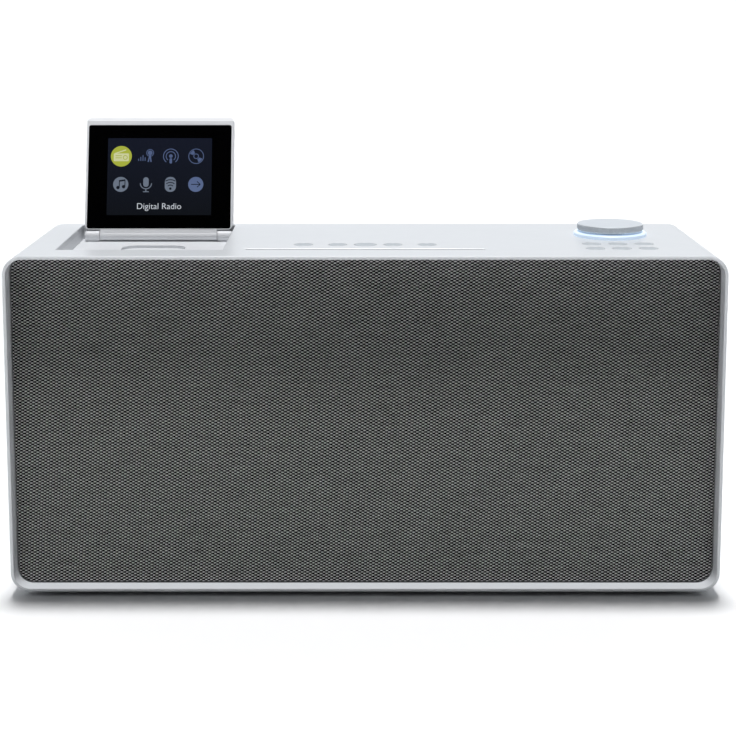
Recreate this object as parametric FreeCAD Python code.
"""Table-top music radio: cloth-fronted cabinet, disc slot, folding display, knob, keys and aerial.

Millimetres. +X is the object's right as seen from the front, +Y the back, +Z up.
The pieces are drawn about the middle of the cabinet's depth. The folded aerial stands out behind it, so
save() moves each piece forward, and the origin is then the centre of the whole object's footprint, on the
plane that the feet stand on.
"""
import FreeCAD, Part
import math
import os

Vector = FreeCAD.Vector
X_AXIS = Vector(1, 0, 0)
Y_AXIS = Vector(0, 1, 0)
Z_AXIS = Vector(0, 0, 1)

# ---- Driving dimensions: cabinet -------------------------------------------------------------
WIDTH = 360.0                # front outline
DEPTH = 112.0
TOP = 175.0                  # top face above the feet plane
FOOT_HEIGHT = 2.3
WALL = 3.0
LIP = 1.7                    # the wall is this thin in front of the grille
SIDE_TAPER = 2.5             # each side draws in by this much at the rear
CORNER = 10.0                # outer corner radius of the outline
FRONT_EDGE = 0.9             # rounding of the rim's outer front edge
FRONT = -DEPTH / 2
REAR = DEPTH / 2
BASE = FOOT_HEIGHT
UNDER_TOP = TOP - WALL       # underside of the top wall
FLOOR = BASE + WALL          # inside face of the bottom wall
FIT = 0.3                    # gap round pieces that move past one another
RUNNING = 0.05               # radial clearance of a pin or shaft in its bore
EDGE_BREAK = 0.3             # chamfer round every opening of the top face
FOOT_RADIUS = 9.0
FOOT_X = 150.0
FOOT_Y = 38.0

# ---- Grille, baffle and rear panel ------------------------------------------------------------
CLOTH_RECESS = 9.0           # cloth behind the lip's front edge
CLOTH_THICK = 1.0
GRILLE_THICK = 2.0
GRILLE_GAP = 0.5
BAFFLE_THICK = 5.0
CLOTH_FRONT = FRONT + CLOTH_RECESS
GRILLE_FRONT = CLOTH_FRONT + CLOTH_THICK
BAFFLE_FRONT = GRILLE_FRONT + GRILLE_THICK
BAFFLE_BACK = BAFFLE_FRONT + BAFFLE_THICK
PANEL_THICK = 2.0
PANEL_BACK = REAR - 0.6
PANEL_FRONT = PANEL_BACK - PANEL_THICK
SCREW_X = (60.0, 168.0)      # mirrored left and right
SCREW_Z = (12.0, 166.0)
BOSS_RADIUS = 6.8
SCREW_RADIUS = 1.5

# ---- Display and its recess -------------------------------------------------------------------
DISPLAY_X = -113.8
DISPLAY_WIDTH = 81.4
DISPLAY_LENGTH = 66.1        # hinge axis to free edge
DISPLAY_START = 3.1          # hinge axis to the housing's lower edge
GLASS_BEHIND = 2.5           # glass face in front of the hinge axis
BACK_BEHIND = 5.0            # back cover behind the hinge axis
COVER_THICK = 1.6
GLASS_WIDTH = 79.1
GLASS_LOW = 3.6
GLASS_HIGH = 61.7
TOP_BEVEL = (2.2, 2.4)       # along the front face and through the thickness
GLASS_THICK = 1.2
LCD_WIDTH = 57.6
LCD_HEIGHT = 43.2
LEAN = 17.0                  # display leans back this many degrees when open
HINGE_Y = 45.0
HINGE_Z = TOP - BACK_BEHIND  # the back cover lies flush with the top when folded
TRAY_X = (-156.5, -72.2)
TRAY_Y = (-35.4, 52.3)
TRAY_DEPTH = 8.0
TRAY_FLOOR = TOP - TRAY_DEPTH
TRAY_BOTTOM = TRAY_FLOOR - 3.0
TRAY_WALL = 1.6
TRAY_REAR_WALL = 1.0
DISH_HALF_WIDTH = 17.0
DISH_Y = (4.5, 29.5)
DISH_CORNER = 8.0
DISH_DEPTH = 1.5
KNUCKLE_RADIUS = 3.0
KNUCKLE_LENGTH = 8.3
BAR_RADIUS = 2.7
PIN_RADIUS = 1.2

# ---- Keys and knob ----------------------------------------------------------------------------
KEY_RADIUS = 4.5
PLAY_KEY_RADIUS = 5.5
KEY_DISH = 1.1
KEY_FLANGE = 1.2
KEY_TRAVEL_GAP = 0.9         # key stem above its switch
DECK_KEY_Y = -18.0
DECK_KEYS = {"stop": -31.8, "previous": -14.2, "play": 0.0, "next": 14.2, "eject": 31.8}
PANEL_KEY_X = {"left": 117.0, "middle": 130.5, "right": 144.0}
PANEL_KEY_Y = {"front": -30.4, "back": -15.7}
BOARD_THICK = 1.6
KEY_BOARD_TOP = 159.6
SWITCH_HEIGHT = 3.5
PLUNGER_HEIGHT = 0.6
SWITCH_SIZE = 6.0
KNOB_X = 130.5
KNOB_Y = 15.1
KNOB_RADIUS = 17.5
KNOB_BOTTOM = TOP + 2.9
KNOB_TOP = TOP + 6.3
RING_RADIUS = 19.2
RING_INNER = 13.0
RING_SEAT = 1.0
RING_TOP = TOP + 2.0
SHAFT_RADIUS = 3.0
BUSHING_RADIUS = 3.5

# ---- Disc mechanism ---------------------------------------------------------------------------
SLOT_HALF = 60.75
SLOT_WIDTH = 3.2
SLOT_Y = -32.9
DISC_CENTRE_Z = 96.0
CHASSIS_HALF = 78.0
CHASSIS_BOTTOM = 30.0
EAR_X = (66.0, 67.5)         # cheeks that carry the feed roller
EAR_TOP = 168.0
PLATE_TOP = 156.0
SHEET = 1.5
PLATE_FRONT = -29.0
PLATE_BACK = PLATE_FRONT + SHEET
ROLLER_RADIUS = 4.0
ROLLER_Y = SLOT_Y + 0.6 + ROLLER_RADIUS
ROLLER_Z = 164.0
MOTOR_RADIUS = 12.0
MOTOR_BACK = -19.0
SLED_X = (14.0, 38.0)
SLED_HALF_HEIGHT = 18.0
SLED_Y = (-26.5, -20.5)
LENS_X = 25.0
ROD_RADIUS = 1.5
ROD_OFFSET = 14.0
WHEEL_RADIUS = 4.0
WHEEL_X = 43.0

# ---- Loudspeakers -----------------------------------------------------------------------------
DRIVER_X = 128.0
DRIVER_Z = 89.0
DRIVER_RADIUS = 46.0
DRIVER_HOLE = 41.0
CONE_RADIUS = 36.0
COIL_RADIUS = 12.2

# ---- Boards, sockets, port and aerial ---------------------------------------------------------
MAIN_BOARD_Z = 20.0
JACK_X = {"line_in": -40.0, "headphones": -24.0}
JACK_RADIUS = 1.8
JACK_DEPTH = 12.0
SOCKET_Z = 25.0
USB_X = -4.0
INLET_X = 120.0
INLET_Z = 27.0
PORT_RADIUS = 17.0
PORT_WALL = 1.5
PORT_Z = 110.0
PORT_FRONT = 10.0
AERIAL_X = 150.0
AERIAL_Z = 160.0
AERIAL_ELBOW_Y = 65.0
SECTION_LENGTH = 118.0
SECTION_RADII = (3.2, 2.75, 2.3)   # outer radius of each telescopic section
SECTION_WALL = 0.4
OUTER_REAR = AERIAL_ELBOW_Y + SECTION_RADII[0]
ORIGIN_SHIFT = -(FRONT + OUTER_REAR) / 2   # from the cabinet's middle to the whole object's middle


# ---- Helpers ----------------------------------------------------------------------------------
def box(x, y, z):
    """A block from three (low, high) pairs."""
    return Part.makeBox(x[1] - x[0], y[1] - y[0], z[1] - z[0], Vector(x[0], y[0], z[0]))


def centred(centre, half, z):
    """A block whose footprint is centred on (x, y) with half sizes (x, y)."""
    return box((centre[0] - half[0], centre[0] + half[0]),
               (centre[1] - half[1], centre[1] + half[1]), z)


def rod_x(y, z, radius, x):
    return Part.makeCylinder(radius, x[1] - x[0], Vector(x[0], y, z), X_AXIS)


def rod_y(x, z, radius, y):
    return Part.makeCylinder(radius, y[1] - y[0], Vector(x, y[0], z), Y_AXIS)


def rod_z(x, y, radius, z):
    return Part.makeCylinder(radius, z[1] - z[0], Vector(x, y, z[0]), Z_AXIS)


def fuse(first, *others):
    return first.fuse(list(others)).removeSplitter()


def outline(y, half_width, z, radius, centre_x=0.0):
    """A rounded rectangle in the plane Y = y."""
    x0, x1 = centre_x - half_width, centre_x + half_width
    z0, z1 = z
    diagonal = radius * (1 - math.sqrt(0.5))

    def point(x, height):
        return Vector(x, y, height)

    corners = [(x1, z0, -1, 1), (x1, z1, -1, -1), (x0, z1, 1, -1), (x0, z0, 1, 1)]
    arcs = []
    for index, (x, height, inward_x, inward_z) in enumerate(corners):
        along_z = point(x, height + inward_z * radius)
        along_x = point(x + inward_x * radius, height)
        start, end = (along_x, along_z) if index % 2 == 0 else (along_z, along_x)
        middle = point(x + inward_x * diagonal, height + inward_z * diagonal)
        arcs.append((start, Part.Arc(start, middle, end).toShape(), end))
    edges = []
    for index, (start, arc, end) in enumerate(arcs):
        edges.append(arc)
        edges.append(Part.makeLine(end, arcs[(index + 1) % len(arcs)][0]))
    return Part.Wire(edges)


def flared_box(x, y):
    """A cutter that breaks the top edge of a rectangular opening in the top face."""
    rings = []
    for z, spread in ((TOP - EDGE_BREAK, 0), (TOP + EDGE_BREAK, 2 * EDGE_BREAK)):
        corners = [(x[0] - spread, y[0] - spread), (x[1] + spread, y[0] - spread),
                   (x[1] + spread, y[1] + spread), (x[0] - spread, y[1] + spread)]
        points = [Vector(*corner, z) for corner in corners]
        rings.append(Part.makePolygon(points + points[:1]))
    return Part.makeLoft(rings, True)


def flared_rod(x, y, radius):
    """The same for a round opening."""
    return Part.makeCone(radius, radius + 2 * EDGE_BREAK, 2 * EDGE_BREAK,
                         Vector(x, y, TOP - EDGE_BREAK), Z_AXIS)


def slab(y, half_width, z, radius, centre_x=0.0):
    """A rounded rectangle extruded from y[0] to y[1]."""
    face = Part.Face(outline(y[0], half_width, z, radius, centre_x))
    return face.extrude(Vector(0, y[1] - y[0], 0))


def turned(points, x, y=0.0):
    """A solid turned about the upright line through (x, y) from (radius, height) points."""
    loop = [Vector(x + radius, y, height) for radius, height in points]
    loop.append(loop[0])
    return Part.Face(Part.makePolygon(loop)).revolve(Vector(x, y, 0), Z_AXIS, 360)


def turned_about_y(points, x, z):
    """A solid turned about the line along Y through (x, z) from (radius, y) points."""
    loop = [Vector(x + radius, y, z) for radius, y in points]
    loop.append(loop[0])
    return Part.Face(Part.makePolygon(loop)).revolve(Vector(x, 0, z), Y_AXIS, 360)


def edges_where(shape, test):
    """The edges all of whose ends and middle pass the test."""
    chosen = []
    for edge in shape.Edges:
        ends = [vertex.Point for vertex in edge.Vertexes]
        ends.append(edge.valueAt((edge.FirstParameter + edge.LastParameter) / 2))
        if all(test(point) for point in ends):
            chosen.append(edge)
    return chosen


def save(name, *solids):
    shape = solids[0] if len(solids) == 1 else Part.makeCompound(list(solids))
    shape = shape.copy()
    shape.translate(Vector(0, ORIGIN_SHIFT, 0))
    for solid in shape.Solids:
        if not solid.isValid() or solid.Volume <= 0:
            print("NOT VALID", name)
    print(f"{name:22s} solids {len(shape.Solids)}  volume {shape.Volume / 1000:9.2f} cm3")
    shape.exportStep(os.path.join("parts", name + ".step"))


# ---- Cabinet ----------------------------------------------------------------------------------
def half_width_at(y):
    """Half width of the cabinet's outline at depth y."""
    return WIDTH / 2 - SIDE_TAPER * (y - FRONT) / DEPTH


def key_places():
    """Every key as name -> (x, y, radius)."""
    places = {}
    for name, x in DECK_KEYS.items():
        radius = PLAY_KEY_RADIUS if name == "play" else KEY_RADIUS
        places["key_" + name] = (x, DECK_KEY_Y, radius)
    for row, y in PANEL_KEY_Y.items():
        for column, x in PANEL_KEY_X.items():
            places[f"key_{row}_{column}"] = (x, y, KEY_RADIUS)
    return places


def screw_places():
    return [(side * x, z) for x in SCREW_X for z in SCREW_Z for side in (-1, 1)]


def cabinet_shell():
    """One moulded sleeve, open at the front and the rear, with every opening of the top wall."""
    outer = Part.makeLoft([outline(y, half_width_at(y), (BASE, TOP), CORNER)
                           for y in (FRONT, REAR)], True)
    on_front = edges_where(outer, lambda point: abs(point.y - FRONT) < 0.01)
    outer = outer.makeFillet(FRONT_EDGE, on_front)
    inner = Part.makeLoft([outline(y, half_width_at(y) - WALL, (FLOOR, UNDER_TOP), CORNER - WALL)
                           for y in (FRONT - 1, REAR + 1)], True)
    relief = Part.makeLoft([outline(y, half_width_at(y) - LIP, (BASE + LIP, TOP - LIP), CORNER - LIP)
                            for y in (FRONT - 1, BAFFLE_FRONT)], True)
    shell = outer.cut([inner, relief])
    bosses = [rod_y(x, z, BOSS_RADIUS, (PANEL_FRONT - 20, PANEL_FRONT)).common(outer)
              for x, z in screw_places()]
    shell = fuse(shell, *bosses)
    cuts = [rod_y(x, z, SCREW_RADIUS - 0.2, (PANEL_FRONT - 16, PANEL_FRONT + 1))
            for x, z in screw_places()]
    through = (UNDER_TOP - 1, TOP + 1)
    slot_x, slot_y = (-SLOT_HALF, SLOT_HALF), (SLOT_Y - SLOT_WIDTH / 2, SLOT_Y + SLOT_WIDTH / 2)
    cuts += [box(TRAY_X, TRAY_Y, through), flared_box(TRAY_X, TRAY_Y),
             box(slot_x, slot_y, through), flared_box(slot_x, slot_y)]
    for x, y, radius in key_places().values():
        cuts += [rod_z(x, y, radius + FIT, through), flared_rod(x, y, radius + FIT)]
    cuts.append(rod_z(KNOB_X, KNOB_Y, BUSHING_RADIUS + RUNNING, through))
    cuts.append(rod_z(KNOB_X, KNOB_Y, RING_RADIUS + 0.1, (TOP - RING_SEAT, TOP + 1)))
    return shell.cut(cuts)


def cabinet_front():
    """Cloth, its lattice frame and the baffle that carries the loudspeakers."""
    half = half_width_at(BAFFLE_FRONT) - LIP - GRILLE_GAP
    height = (BASE + LIP + GRILLE_GAP, TOP - LIP - GRILLE_GAP)
    radius = CORNER - LIP - GRILLE_GAP
    cloth = slab((CLOTH_FRONT, GRILLE_FRONT), half, height, radius)
    soft_edge = edges_where(cloth, lambda point: abs(point.y - CLOTH_FRONT) < 0.01)
    save("grille_cloth", cloth.makeFillet(0.7, soft_edge))

    frame = slab((GRILLE_FRONT, BAFFLE_FRONT), half, height, radius)
    columns, rows, rib = 11, 5, 2.6
    margin = 8.0
    step_x = (2 * half - 2 * margin + rib) / columns
    step_z = (height[1] - height[0] - 2 * margin + rib) / rows
    windows = []
    for column in range(columns):
        for row in range(rows):
            x = -half + margin + column * step_x
            z = height[0] + margin + row * step_z
            windows.append(box((x, x + step_x - rib), (GRILLE_FRONT - 1, BAFFLE_FRONT + 1),
                               (z, z + step_z - rib)))
    save("grille_frame", frame.cut(windows))

    baffle = slab((BAFFLE_FRONT, BAFFLE_BACK), half_width_at(BAFFLE_BACK) - WALL - 0.1,
                  (FLOOR, UNDER_TOP), CORNER - WALL)
    holes = [rod_y(side * DRIVER_X, DRIVER_Z, DRIVER_HOLE, (BAFFLE_FRONT - 1, BAFFLE_BACK + 1))
             for side in (-1, 1)]
    save("front_baffle", baffle.cut(holes))


def rear_panel():
    """The screwed-on back with the sockets' openings, and its pan-head screws."""
    panel = slab((PANEL_FRONT, PANEL_BACK), half_width_at(PANEL_BACK) - WALL - 0.2,
                 (FLOOR + 0.2, UNDER_TOP - 0.2), CORNER - WALL)
    through = (PANEL_FRONT - 1, PANEL_BACK + 1)
    cuts = [rod_y(x, z, SCREW_RADIUS + 0.2, through) for x, z in screw_places()]
    cuts += [rod_y(x, SOCKET_Z, 3.7, through) for x in JACK_X.values()]
    cuts.append(box((USB_X - 4.9, USB_X + 4.9), through, (SOCKET_Z - 2.0, SOCKET_Z + 2.0)))
    cuts.append(box((INLET_X - 9.6, INLET_X + 9.6), through, (INLET_Z - 6.1, INLET_Z + 6.1)))
    cuts.append(rod_y(0, PORT_Z, PORT_RADIUS + PORT_WALL + 0.1, through))
    save("rear_panel", panel.cut(cuts))

    screws = []
    for x, z in screw_places():
        head = rod_y(x, z, 3.0, (PANEL_BACK, PANEL_BACK + 1.4))
        rim = edges_where(head, lambda point: point.y > PANEL_BACK + 1.3)
        head = head.makeFillet(0.6, rim)
        shank = rod_y(x, z, SCREW_RADIUS - 0.2, (PANEL_FRONT - 12, PANEL_BACK + 0.1))
        cross = [box((x - a, x + a), (PANEL_BACK + 0.6, PANEL_BACK + 2), (z - b, z + b))
                 for a, b in ((1.6, 0.3), (0.3, 1.6))]
        screws.append(head.fuse(shank).cut(cross))
    save("rear_screws", *screws)


def feet():
    """Four round rubber feet under the corners."""
    pads = []
    for x in (-FOOT_X, FOOT_X):
        for y in (-FOOT_Y, FOOT_Y):
            pad = rod_z(x, y, FOOT_RADIUS, (0, FOOT_HEIGHT))
            lower = edges_where(pad, lambda point: point.z < 0.01)
            pads.append(pad.makeFillet(0.8, lower))
    save("rubber_feet", *pads)


# ---- Display ----------------------------------------------------------------------------------
def leaned(shape):
    """Takes a display piece from its own frame to its place, leaning back.

    In its own frame the hinge axis is the X axis, +Z runs to the free edge, +Y to the back.
    """
    shape = shape.copy()
    shape.rotate(Vector(0, 0, 0), X_AXIS, -LEAN)
    shape.translate(Vector(DISPLAY_X, HINGE_Y, HINGE_Z))
    return shape


def display_tray():
    """The recess that the display folds into, with a shallow rounded dish in its floor."""
    outer = box((TRAY_X[0] - TRAY_WALL, TRAY_X[1] + TRAY_WALL),
                (TRAY_Y[0] - TRAY_WALL, TRAY_Y[1] + TRAY_REAR_WALL), (TRAY_BOTTOM, UNDER_TOP))
    tray = outer.cut(box(TRAY_X, TRAY_Y, (TRAY_FLOOR, TOP)))
    dish = box((DISPLAY_X - DISH_HALF_WIDTH, DISPLAY_X + DISH_HALF_WIDTH), DISH_Y,
               (TRAY_FLOOR - DISH_DEPTH, TRAY_FLOOR + 1))
    upright = edges_where(dish, lambda point: abs(abs(point.x - DISPLAY_X) - DISH_HALF_WIDTH) < 0.01
                          and min(abs(point.y - y) for y in DISH_Y) < 0.01)
    save("display_tray", tray.cut(dish.makeFillet(DISH_CORNER, upright)))


def display_hinge():
    """Two fixed knuckles on the tray floor, their pins, and the bar that turns between them."""
    outer_end = DISPLAY_WIDTH / 2
    inner_end = outer_end - KNUCKLE_LENGTH
    knuckles, pins = [], []
    for side in (-1, 1):
        near, far = sorted((side * inner_end, side * outer_end))
        barrel = rod_x(0, 0, KNUCKLE_RADIUS, (near, far))
        outer_rim = edges_where(barrel, lambda point: abs(abs(point.x) - outer_end) < 0.01)
        barrel = barrel.makeFillet(1.6, outer_rim)
        seat = box((near + 1.0, far - 1.0), (-2.0, 6.0), (TRAY_FLOOR - HINGE_Z, -1.0))
        bore = rod_x(0, 0, PIN_RADIUS + 0.02, (near - 1, near + 7) if side > 0 else (far - 7, far + 1))
        knuckle = fuse(barrel, seat).cut(bore)
        pin_span = sorted((side * (inner_end - 4.5), side * (inner_end + 6.5)))
        pin = rod_x(0, 0, PIN_RADIUS, pin_span)
        for shape, group in ((knuckle, knuckles), (pin, pins)):
            shape.translate(Vector(DISPLAY_X, HINGE_Y, HINGE_Z))
            group.append(shape)
    save("hinge_knuckles", *knuckles)
    save("hinge_pins", *pins)

    reach = inner_end - FIT
    bar = rod_x(0, 0, BAR_RADIUS, (-reach, reach))
    web = box((-reach, reach), (-GLASS_BEHIND, GLASS_BEHIND), (0, DISPLAY_START))
    bores = [rod_x(0, 0, PIN_RADIUS + RUNNING, sorted((side * (reach - 5), side * (reach + 1))))
             for side in (-1, 1)]
    save("hinge_bar", leaned(fuse(bar, web).cut(bores)))


def display():
    """White housing, its back cover, the black glass, the panel behind it and the board."""
    half = DISPLAY_WIDTH / 2
    height = (DISPLAY_START, DISPLAY_LENGTH)
    corner = 2.3
    split = BACK_BEHIND - COVER_THICK
    housing = slab((-GLASS_BEHIND, split), half, height, corner)
    bevel_corners = [Vector(-half - 1, y, z) for y, z in (
        (-GLASS_BEHIND, DISPLAY_LENGTH - TOP_BEVEL[0]), (TOP_BEVEL[1] - GLASS_BEHIND, DISPLAY_LENGTH),
        (TOP_BEVEL[1] - GLASS_BEHIND, DISPLAY_LENGTH + 1), (-GLASS_BEHIND - 1, DISPLAY_LENGTH + 1),
        (-GLASS_BEHIND - 1, DISPLAY_LENGTH - TOP_BEVEL[0]))]
    bevel_corners.append(bevel_corners[0])
    bevel = Part.Face(Part.makePolygon(bevel_corners)).extrude(Vector(DISPLAY_WIDTH + 2, 0, 0))
    front_rim = edges_where(housing, lambda point: abs(point.y + GLASS_BEHIND) < 0.01)
    housing = housing.makeFillet(0.5, front_rim).cut(bevel)
    glass_back = GLASS_THICK - GLASS_BEHIND
    seat = slab((-GLASS_BEHIND - 1, glass_back), GLASS_WIDTH / 2, (GLASS_LOW, GLASS_HIGH), 1.2)
    cavity = box((-half + 2.4, half - 2.4), (-GLASS_BEHIND, split + 1), (GLASS_LOW + 2, GLASS_HIGH - 1))
    save("display_housing", leaned(housing.cut([seat, cavity])))

    cover = slab((split, BACK_BEHIND), half, height, corner)
    back_rim = edges_where(cover, lambda point: abs(point.y - BACK_BEHIND) < 0.01)
    save("display_back_cover", leaned(cover.makeFillet(1.0, back_rim)))

    glass = slab((-GLASS_BEHIND, glass_back), GLASS_WIDTH / 2 - 0.05,
                 (GLASS_LOW + 0.05, GLASS_HIGH - 0.05), 1.15)
    save("display_glass", leaned(glass))

    middle = (GLASS_LOW + GLASS_HIGH) / 2
    lcd_back = glass_back + 2.0
    lcd = box((-LCD_WIDTH / 2 - 2, LCD_WIDTH / 2 + 2), (glass_back, lcd_back),
              (middle - LCD_HEIGHT / 2 - 2, middle + LCD_HEIGHT / 2 + 2))
    save("lcd_panel", leaned(lcd))

    board = box((-34, 34), (lcd_back, lcd_back + 0.8), (middle - 24, middle + 24))
    chips = [box((x - size, x + size), (lcd_back + 0.8, lcd_back + 1.9), (z - size, z + size))
             for x, z, size in ((-14, middle - 6, 5), (10, middle + 8, 4), (16, middle - 12, 3))]
    save("display_board", leaned(fuse(board, *chips)))


# ---- Keys, knob and their boards ----------------------------------------------------------------
def key(x, y, radius):
    """A dished round key: cap through the top wall, flange below it and a stem to the switch."""
    stem_bottom = KEY_BOARD_TOP + SWITCH_HEIGHT + PLUNGER_HEIGHT + KEY_TRAVEL_GAP
    flange_top = UNDER_TOP - 0.4
    flange_bottom = flange_top - 1.2
    rim = radius - 0.5
    ball = (rim ** 2 + KEY_DISH ** 2) / (2 * KEY_DISH)
    body = turned([(0, stem_bottom), (1.5, stem_bottom), (1.5, flange_bottom),
                   (radius + KEY_FLANGE, flange_bottom), (radius + KEY_FLANGE, flange_top),
                   (radius, flange_top), (radius, TOP - 0.3), (radius - 0.3, TOP), (0, TOP)], x, y)
    return body.cut(Part.makeSphere(ball, Vector(x, y, TOP - KEY_DISH + ball)))


def keys_and_boards():
    switches = []
    for name, (x, y, radius) in key_places().items():
        save(name, key(x, y, radius))
        body = centred((x, y), (SWITCH_SIZE / 2, SWITCH_SIZE / 2),
                       (KEY_BOARD_TOP, KEY_BOARD_TOP + SWITCH_HEIGHT))
        plunger_low = KEY_BOARD_TOP + SWITCH_HEIGHT
        plunger = rod_z(x, y, 1.7, (plunger_low, plunger_low + PLUNGER_HEIGHT))
        switches.append(fuse(body, plunger))
    save("tact_switches", *switches)

    board_z = (KEY_BOARD_TOP - BOARD_THICK, KEY_BOARD_TOP)
    post_z = (KEY_BOARD_TOP, UNDER_TOP)
    deck = box((-43, 43), (DECK_KEY_Y - 5.5, DECK_KEY_Y + 5.5), board_z)
    deck_posts = [rod_z(side * 40.5, DECK_KEY_Y, 2, post_z) for side in (-1, 1)]
    side = box((107, 154), (-37, 27), board_z)
    side_posts = [rod_z(x, y, 2.5, post_z) for x in (110.5, 150.5) for y in (-5, 23)]
    save("control_boards", fuse(deck, *deck_posts), fuse(side, *side_posts))


def knob_and_encoder():
    """Metal knob on a push-and-turn encoder, ringed by a light guide."""
    save("light_ring", turned([(RING_INNER, TOP - RING_SEAT), (RING_RADIUS, TOP - RING_SEAT),
                               (RING_RADIUS, RING_TOP - 0.6), (RING_RADIUS - 0.6, RING_TOP),
                               (RING_INNER, RING_TOP)], KNOB_X, KNOB_Y))
    shaft_top = KNOB_TOP - 1.0
    hollow_top = KNOB_TOP - 2.0
    cap = turned([(SHAFT_RADIUS + 0.02, KNOB_BOTTOM), (5, KNOB_BOTTOM), (5, hollow_top),
                  (KNOB_RADIUS - 2, hollow_top), (KNOB_RADIUS - 2, KNOB_BOTTOM),
                  (KNOB_RADIUS - 0.3, KNOB_BOTTOM), (KNOB_RADIUS, KNOB_BOTTOM + 0.3),
                  (KNOB_RADIUS, KNOB_TOP - 0.5), (KNOB_RADIUS - 0.5, KNOB_TOP), (0, KNOB_TOP),
                  (0, shaft_top), (SHAFT_RADIUS + 0.02, shaft_top)], KNOB_X, KNOB_Y)
    save("knob_cap", cap)

    body_bottom = KEY_BOARD_TOP
    body_top = body_bottom + 7.0
    hollow = (body_bottom + 1.2, body_top - 1.2)
    save("encoder_shaft", rod_z(KNOB_X, KNOB_Y, SHAFT_RADIUS, (hollow[0] + 1.0, shaft_top)))
    body = centred((KNOB_X, KNOB_Y), (6.5, 6.5), (body_bottom, body_top))
    bushing = rod_z(KNOB_X, KNOB_Y, BUSHING_RADIUS, (body_top - 0.5, RING_TOP - 0.4))
    body = fuse(body, bushing)
    body = body.cut([rod_z(KNOB_X, KNOB_Y, 5.6, hollow),
                     rod_z(KNOB_X, KNOB_Y, SHAFT_RADIUS + 0.08, (hollow[0], RING_TOP))])
    save("encoder_body", body)
    rotor = rod_z(KNOB_X, KNOB_Y, 5.2, (hollow[0] + FIT, hollow[1] - FIT))
    save("encoder_rotor", rotor.cut(rod_z(KNOB_X, KNOB_Y, SHAFT_RADIUS + RUNNING, (hollow[0], hollow[1]))))
    nut_z = (TOP - RING_SEAT, TOP - RING_SEAT + 2.0)
    corners = [Vector(KNOB_X + 6.5 * math.cos(math.radians(60 * i)),
                      KNOB_Y + 6.5 * math.sin(math.radians(60 * i)), nut_z[0]) for i in range(7)]
    nut = Part.Face(Part.makePolygon(corners)).extrude(Vector(0, 0, nut_z[1] - nut_z[0]))
    save("encoder_nut", nut.cut(rod_z(KNOB_X, KNOB_Y, BUSHING_RADIUS, (nut_z[0] - 1, nut_z[1] + 1))))


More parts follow.
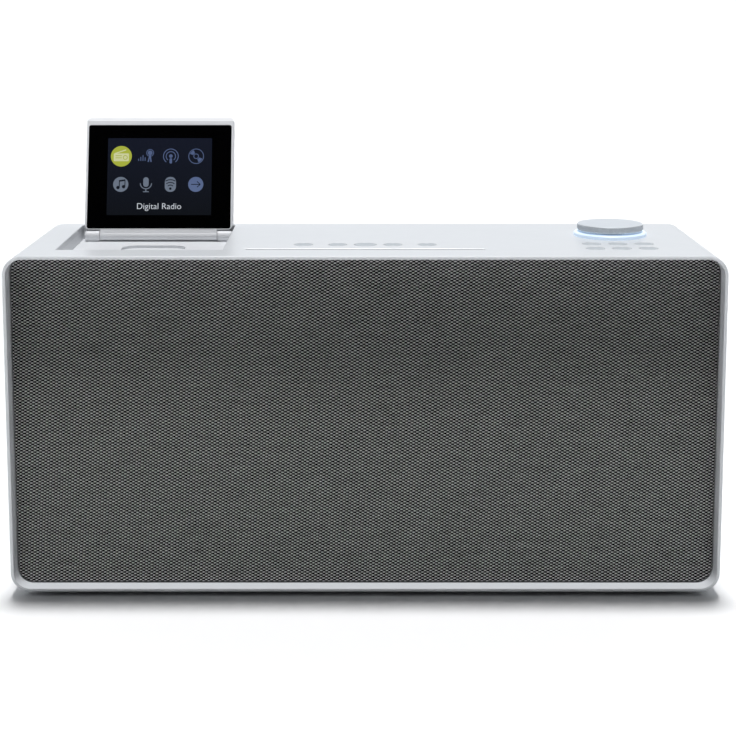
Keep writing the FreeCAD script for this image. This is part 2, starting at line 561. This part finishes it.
# ---- Disc mechanism -----------------------------------------------------------------------------
def disc_mechanism():
    """Upright slot-loading mechanism: the disc drops in edge first and stands on its hub."""
    z = DISC_CENTRE_Z
    plate = box((-CHASSIS_HALF, CHASSIS_HALF), (PLATE_FRONT, PLATE_BACK), (CHASSIS_BOTTOM, PLATE_TOP))
    flanges = [box(sorted((side * CHASSIS_HALF, side * (CHASSIS_HALF - SHEET))),
                   (BAFFLE_BACK, -23.0), (CHASSIS_BOTTOM, PLATE_TOP)) for side in (-1, 1)]
    ears = [box(sorted((side * EAR_X[0], side * EAR_X[1])), (ROLLER_Y - 3.5, ROLLER_Y + 3.5),
                (PLATE_TOP - 6, EAR_TOP)) for side in (-1, 1)]
    ledge = box((-CHASSIS_HALF, CHASSIS_HALF), (BAFFLE_BACK, PLATE_BACK),
                (CHASSIS_BOTTOM, CHASSIS_BOTTOM + SHEET))
    rod_y_place = sum(SLED_Y) / 2
    brackets = []
    for x in ((10.5, 13.0), (73.5, 75.5)):
        for offset in (-ROD_OFFSET, ROD_OFFSET):
            brackets.append(box(x, (PLATE_BACK - 0.5, rod_y_place + 3), (z + offset - 3, z + offset + 3)))
    wheel_z = z - SLED_HALF_HEIGHT - 0.1 - WHEEL_RADIUS
    wheel_pin = rod_y(WHEEL_X, wheel_z, 1.0, (PLATE_FRONT, -22.0))
    chassis = fuse(plate, *flanges, *ears, ledge, *brackets, wheel_pin)
    cuts = [rod_y(0, z, 9.0, (PLATE_FRONT - 1, PLATE_BACK + 1)),
            box((16, 66), (PLATE_FRONT - 1, PLATE_BACK + 0.1), (z - 8, z + 8)),
            rod_x(ROLLER_Y, ROLLER_Z, 1.5 + RUNNING, (-EAR_X[1] - 1, EAR_X[1] + 1))]
    cuts += [rod_x(rod_y_place, z + offset, ROD_RADIUS + 0.02, (10, 76))
             for offset in (-ROD_OFFSET, ROD_OFFSET)]
    save("disc_chassis", chassis.cut(cuts))
    save("sled_rods", *[rod_x(rod_y_place, z + offset, ROD_RADIUS, (10.5, 75.5))
                        for offset in (-ROD_OFFSET, ROD_OFFSET)])

    sled = box(SLED_X, SLED_Y, (z - SLED_HALF_HEIGHT, z + SLED_HALF_HEIGHT))
    lens = rod_y(LENS_X, z, 3.0, (SLED_Y[0] - 4.0, SLED_Y[0] + 0.1))
    bores = [rod_x(rod_y_place, z + offset, ROD_RADIUS + RUNNING, (SLED_X[0] - 1, SLED_X[1] + 1))
             for offset in (-ROD_OFFSET, ROD_OFFSET)]
    save("optical_sled", fuse(sled, lens).cut(bores))
    wheel = rod_y(WHEEL_X, wheel_z, WHEEL_RADIUS, (-26.5, -23.0))
    save("sled_wheel", wheel.cut(rod_y(WHEEL_X, wheel_z, 1.0 + RUNNING, (-27, -22))))

    motor = rod_y(0, z, MOTOR_RADIUS, (PLATE_BACK, MOTOR_BACK))
    save("spindle_motor", motor.cut(rod_y(0, z, 1.0 + RUNNING, (PLATE_BACK - 1, MOTOR_BACK - 1))))
    disc_back = SLOT_Y + 0.6
    hub = fuse(rod_y(0, z, 8.0, (disc_back, disc_back + 2)), rod_y(0, z, 7.3, (disc_back - 1.2, disc_back)),
               rod_y(0, z, 1.0, (disc_back + 1, MOTOR_BACK - 1.5)))
    save("spindle_hub", hub)

    save("feed_roller", fuse(rod_x(ROLLER_Y, ROLLER_Z, ROLLER_RADIUS, (-62, 62)),
                             rod_x(ROLLER_Y, ROLLER_Z, 1.5, (-EAR_X[1] - 1, EAR_X[1] + 1))))
    lip_z = (UNDER_TOP - 1.5, UNDER_TOP)
    save("slot_lips", box((-SLOT_HALF - 2, SLOT_HALF + 2), (SLOT_Y - 4, SLOT_Y - 1.1), lip_z),
         box((-SLOT_HALF - 2, SLOT_HALF + 2), (SLOT_Y + 1.1, SLOT_Y + 3.4), lip_z))


# ---- Loudspeakers ---------------------------------------------------------------------------------
def loudspeakers():
    """Two full-range drivers fastened to the back of the baffle."""
    flange = BAFFLE_BACK
    neck = flange + 22.0
    magnets, surrounds = [], []
    for side, name in ((-1, "left"), (1, "right")):
        x, z = side * DRIVER_X, DRIVER_Z
        basket = turned_about_y([(DRIVER_HOLE, flange), (DRIVER_RADIUS, flange),
                                 (DRIVER_RADIUS, flange + 2.5), (DRIVER_HOLE + 1.5, flange + 2.5),
                                 (28, neck), (28, neck + 1.5), (COIL_RADIUS + 1.4, neck + 1.5),
                                 (COIL_RADIUS + 1.4, neck), (26.5, neck),
                                 (DRIVER_HOLE, flange + 2.0)], x, z)
        slots = []
        for step in range(6):
            slot = box((x - 7, x + 7), (flange + 5, neck - 3), (z + 20, z + DRIVER_RADIUS))
            slot.rotate(Vector(x, 0, z), Y_AXIS, 60 * step)
            slots.append(slot)
        save("driver_basket_" + name, basket.cut(slots))
        cone_front = flange
        coil_back = neck + 8.0
        throat = neck - 5.0
        save("driver_cone_" + name, turned_about_y(
            [(0, throat - 4.5), (5, throat - 4.1), (9.5, throat - 3.0), (COIL_RADIUS, throat - 1.4),
             (CONE_RADIUS, cone_front), (CONE_RADIUS, cone_front + 1.0), (COIL_RADIUS + 0.7, throat),
             (COIL_RADIUS + 0.7, coil_back), (COIL_RADIUS, coil_back), (COIL_RADIUS, throat - 0.6),
             (9.2, throat - 2.2), (5, throat - 3.3), (0, throat - 3.7)], x, z))
        roll = [(37.0 + 1.6 * (1 - math.cos(math.radians(a))), flange - 1.6 * math.sin(math.radians(a)))
                for a in range(0, 181, 30)]
        inner_roll = [(38.6 + (radius - 38.6) * 0.7, flange + (y - flange) * 0.7)
                      for radius, y in reversed(roll)]
        ring = turned_about_y([(CONE_RADIUS + 0.4, flange), *roll, (DRIVER_HOLE - 0.1, flange),
                               (DRIVER_HOLE - 0.1, flange + 0.6), (39.0, flange + 0.6),
                               *inner_roll, (CONE_RADIUS + 0.4, flange + 0.6)], x, z)
        surrounds.append(ring)
        back = neck + 1.5
        magnets.append(turned_about_y([(0, neck - 1), (COIL_RADIUS - 0.7, neck - 1),
                                       (COIL_RADIUS - 0.7, back + 12), (COIL_RADIUS + 1.4, back + 12),
                                       (COIL_RADIUS + 1.4, back), (30, back), (30, back + 12),
                                       (28, back + 15), (0, back + 15)], x, z))
    save("driver_magnets", *magnets)
    save("driver_surrounds", *surrounds)


# ---- Boards, sockets, port and aerial ---------------------------------------------------------------
def electronics():
    """Main and power boards on standoffs above the cabinet floor."""
    top = MAIN_BOARD_Z + BOARD_THICK
    main = box((-51, 51), (4, 50), (MAIN_BOARD_Z, top))
    standoffs = [rod_z(x, y, 3, (FLOOR, MAIN_BOARD_Z)) for x in (-47, 47) for y in (9, 45)]
    shield = box((-46, -22), (8, 30), (top, top + 4))
    processor = box((-16, 0), (12, 28), (top, top + 2))
    sink = box((8, 40), (8, 30), (top, top + 3))
    fins = [box((8 + 5 * i, 10 + 5 * i), (8, 30), (top + 2, top + 18)) for i in range(7)]
    save("main_board", fuse(main, *standoffs, shield, processor, sink, *fins))

    power = box((70, 150), (0, 36), (MAIN_BOARD_Z, top))
    power_standoffs = [rod_z(x, y, 3, (FLOOR, MAIN_BOARD_Z)) for x in (75, 145) for y in (5, 31)]
    transformer = box((100, 128), (5, 27), (top, top + 22))
    capacitors = [rod_z(x, y, 6, (top, top + 20)) for x, y in ((80, 10), (80, 26), (140, 14))]
    save("power_board", fuse(power, *power_standoffs, transformer, *capacitors))


def sockets():
    """Two 3.5 mm jacks, a small data socket and a two-pin mains inlet, all facing the rear."""
    pieces = []
    for x in JACK_X.values():
        body = box((x - 6, x + 6), (38, PANEL_FRONT), (MAIN_BOARD_Z + BOARD_THICK, SOCKET_Z + 4))
        nose = rod_y(x, SOCKET_Z, 3.6, (PANEL_FRONT - 0.5, PANEL_BACK + 0.4))
        bore = rod_y(x, SOCKET_Z, JACK_RADIUS, (PANEL_BACK + 0.4 - JACK_DEPTH, PANEL_BACK + 2))
        pieces.append(fuse(body, nose).cut(bore))
    width = (USB_X - 4.7, USB_X + 4.7)
    port = fuse(box(width, (44, PANEL_FRONT), (MAIN_BOARD_Z + BOARD_THICK, SOCKET_Z + 1.8)),
                box(width, (PANEL_FRONT - 1, PANEL_BACK), (SOCKET_Z - 1.8, SOCKET_Z + 1.8)))
    mouth = box((USB_X - 4.1, USB_X + 4.1), (PANEL_BACK - 6, PANEL_BACK + 1),
                (SOCKET_Z - 1.3, SOCKET_Z + 1.3))
    pieces.append(port.cut(mouth))
    save("rear_sockets", *pieces)

    body = box((INLET_X - 9.5, INLET_X + 9.5), (38, PANEL_BACK), (INLET_Z - 6, INLET_Z + 6))
    rim = slab((PANEL_BACK, PANEL_BACK + 1.0), 12.5, (INLET_Z - 8.5, INLET_Z + 8.5), 2.0, INLET_X)
    recess = slab((PANEL_BACK - 12, PANEL_BACK + 2), 7.6, (INLET_Z - 4.0, INLET_Z + 4.0), 3.9, INLET_X)
    inlet = fuse(body, rim).cut(recess)
    pins = [rod_y(INLET_X + side * 4.3, INLET_Z, 1.2, (PANEL_BACK - 12.5, PANEL_BACK - 3))
            for side in (-1, 1)]
    save("mains_inlet", fuse(inlet, *pins))


def reflex_port():
    """Flared bass port through the rear panel."""
    inner, outer = PORT_RADIUS, PORT_RADIUS + PORT_WALL
    lip = PANEL_BACK + 1.4
    save("reflex_port", turned_about_y([(inner, PORT_FRONT), (outer, PORT_FRONT), (outer, PANEL_BACK),
                                        (24, PANEL_BACK), (24, lip - 0.5), (23.4, lip), (inner + 2.2, lip),
                                        (inner + 0.9, lip - 0.4), (inner, lip - 2)], 0, PORT_Z))


def aerial():
    """Telescopic aerial, folded flat behind the cabinet: turntable, elbow and three sections."""
    mount = fuse(rod_y(AERIAL_X, AERIAL_Z, 7.0, (PANEL_BACK, 58.0)),
                 rod_y(AERIAL_X, AERIAL_Z, 2.0, (57.5, 60.8)),
                 rod_y(AERIAL_X, AERIAL_Z, 3.4, (60.6, 61.3)))
    save("aerial_mount", mount)

    disc = rod_y(AERIAL_X, AERIAL_Z, 6.2, (58.3, 60.3))
    ears = []
    for side in (-1, 1):
        span = sorted((AERIAL_Z + side * 3.8, AERIAL_Z + side * 5.4))
        ear = box((AERIAL_X - 2.8, AERIAL_X + 2.8), (59.0, AERIAL_ELBOW_Y), span)
        ears.append(ear.fuse(rod_z(AERIAL_X, AERIAL_ELBOW_Y, 2.8, span)))
    pin = rod_z(AERIAL_X, AERIAL_ELBOW_Y, 1.0, (AERIAL_Z - 5.0, AERIAL_Z + 5.0))
    fork = fuse(disc, *ears, pin).cut(rod_y(AERIAL_X, AERIAL_Z, 2.0 + RUNNING, (58, 60.5)))
    save("aerial_fork", fork)

    start = AERIAL_X - 5.0
    knuckle = rod_z(AERIAL_X, AERIAL_ELBOW_Y, 2.9, (AERIAL_Z - 3.4, AERIAL_Z + 3.4))
    neck = rod_x(AERIAL_ELBOW_Y, AERIAL_Z, SECTION_RADII[0] - 0.4, (start, AERIAL_X))
    tube = rod_x(AERIAL_ELBOW_Y, AERIAL_Z, SECTION_RADII[0], (start - SECTION_LENGTH, start))
    hollow = rod_x(AERIAL_ELBOW_Y, AERIAL_Z, SECTION_RADII[0] - SECTION_WALL,
                   (start - SECTION_LENGTH - 1, start - 1))
    elbow_bore = rod_z(AERIAL_X, AERIAL_ELBOW_Y, 1.0 + RUNNING, (AERIAL_Z - 4, AERIAL_Z + 4))
    save("aerial_section_1", fuse(knuckle, neck, tube).cut([hollow, elbow_bore]))

    middle_end = start - SECTION_LENGTH - 2.5
    middle = rod_x(AERIAL_ELBOW_Y, AERIAL_Z, SECTION_RADII[1], (middle_end, start - 2))
    bore = rod_x(AERIAL_ELBOW_Y, AERIAL_Z, SECTION_RADII[1] - SECTION_WALL, (middle_end - 1, start - 3))
    save("aerial_section_2", middle.cut(bore))
    tip_end = middle_end - 3.0
    tip = rod_x(AERIAL_ELBOW_Y, AERIAL_Z, SECTION_RADII[2], (tip_end, start - 4))
    button = rod_x(AERIAL_ELBOW_Y, AERIAL_Z, SECTION_RADII[0], (tip_end - 4, tip_end))
    ends = edges_where(button, lambda point: point.x < tip_end - 3.9)
    save("aerial_section_3", fuse(tip, button.makeFillet(1.2, ends)))


save("cabinet_shell", cabinet_shell())
cabinet_front()
rear_panel()
feet()
display_tray()
display_hinge()
display()
keys_and_boards()
knob_and_encoder()
disc_mechanism()
loudspeakers()
electronics()
sockets()
reflex_port()
aerial()
